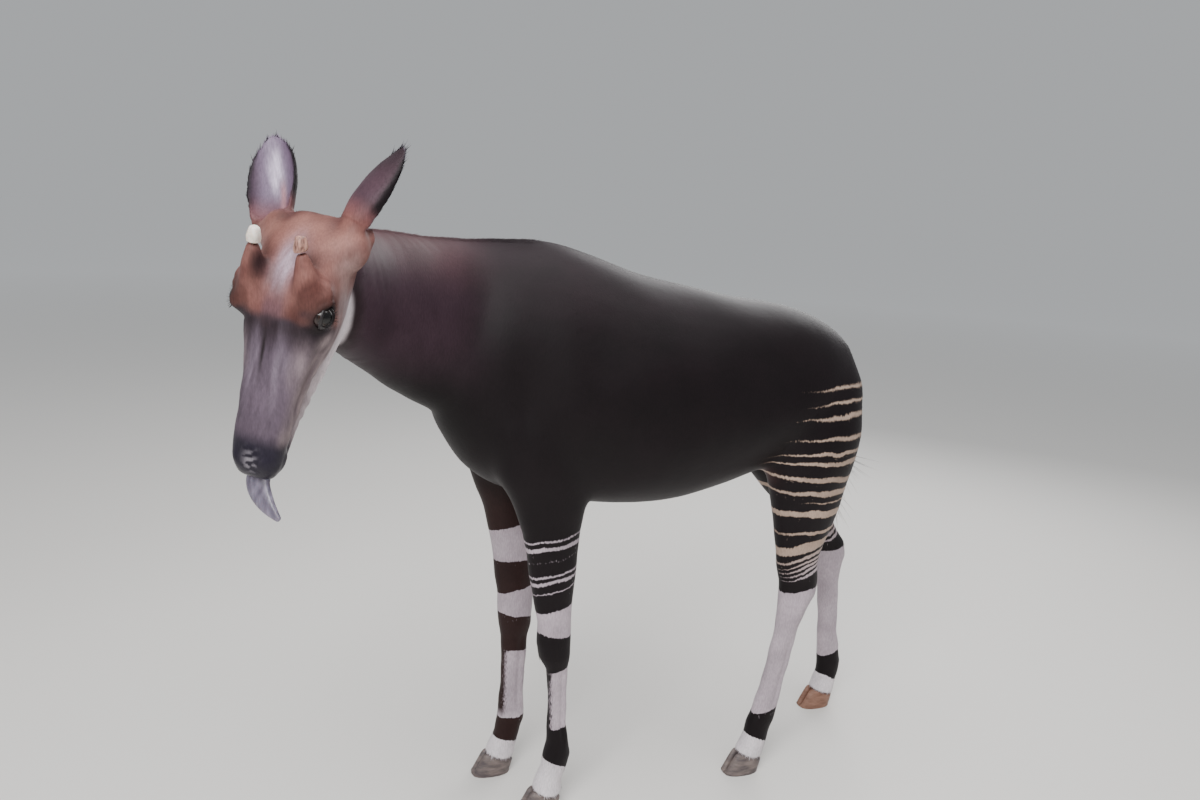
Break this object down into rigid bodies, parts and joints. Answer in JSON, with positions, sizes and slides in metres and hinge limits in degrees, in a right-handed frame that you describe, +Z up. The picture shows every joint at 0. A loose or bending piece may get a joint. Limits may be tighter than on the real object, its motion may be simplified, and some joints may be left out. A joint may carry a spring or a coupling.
{
  "type": "okapi",
  "caption": "Standing okapi, life size, head lowered and turned to its left with the tongue showing, short horns, striped legs and cloven hooves.",
  "frame": {"origin": "middle of the bounding box, on the floor under the soles", "axes": "+X towards the chest, +Y to the animal's left, +Z up"},
  "size_m": [1.9518, 0.8096, 1.751],
  "materials": {
    "coat_dark": "satin",
    "coat_head": "satin",
    "coat_leg": "satin",
    "coat_ear": "satin",
    "hoof_horn": "matt",
    "eye_wet": "gloss",
    "tongue_skin": "wet gloss",
    "tail_hair": "matt",
    "ossicone_bone": "matt"
  },
  "bodies": {
    "root": {"ear_left": "coat_ear", "ear_right": "coat_ear", "eye_left": "eye_wet", "eye_right": "eye_wet", "head": "coat_head", "hoof_fore_left_left": "hoof_horn", "hoof_fore_left_right": "hoof_horn", "hoof_fore_right_left": "hoof_horn", "hoof_fore_right_right": "hoof_horn", "hoof_hind_left_left": "hoof_horn", "hoof_hind_left_right": "hoof_horn", "hoof_hind_right_left": "hoof_horn", "hoof_hind_right_right": "hoof_horn", "leg_fore_left": "coat_leg", "leg_fore_right": "coat_leg", "leg_hind_left": "coat_leg", "leg_hind_right": "coat_leg", "neck": "coat_dark", "ossicone_left": "coat_head", "ossicone_right": "coat_head", "ossicone_tip_left": "ossicone_bone", "ossicone_tip_right": "ossicone_bone", "tail": "tail_hair", "tongue": "tongue_skin", "torso": "coat_dark"}
  },
  "joints": []
}
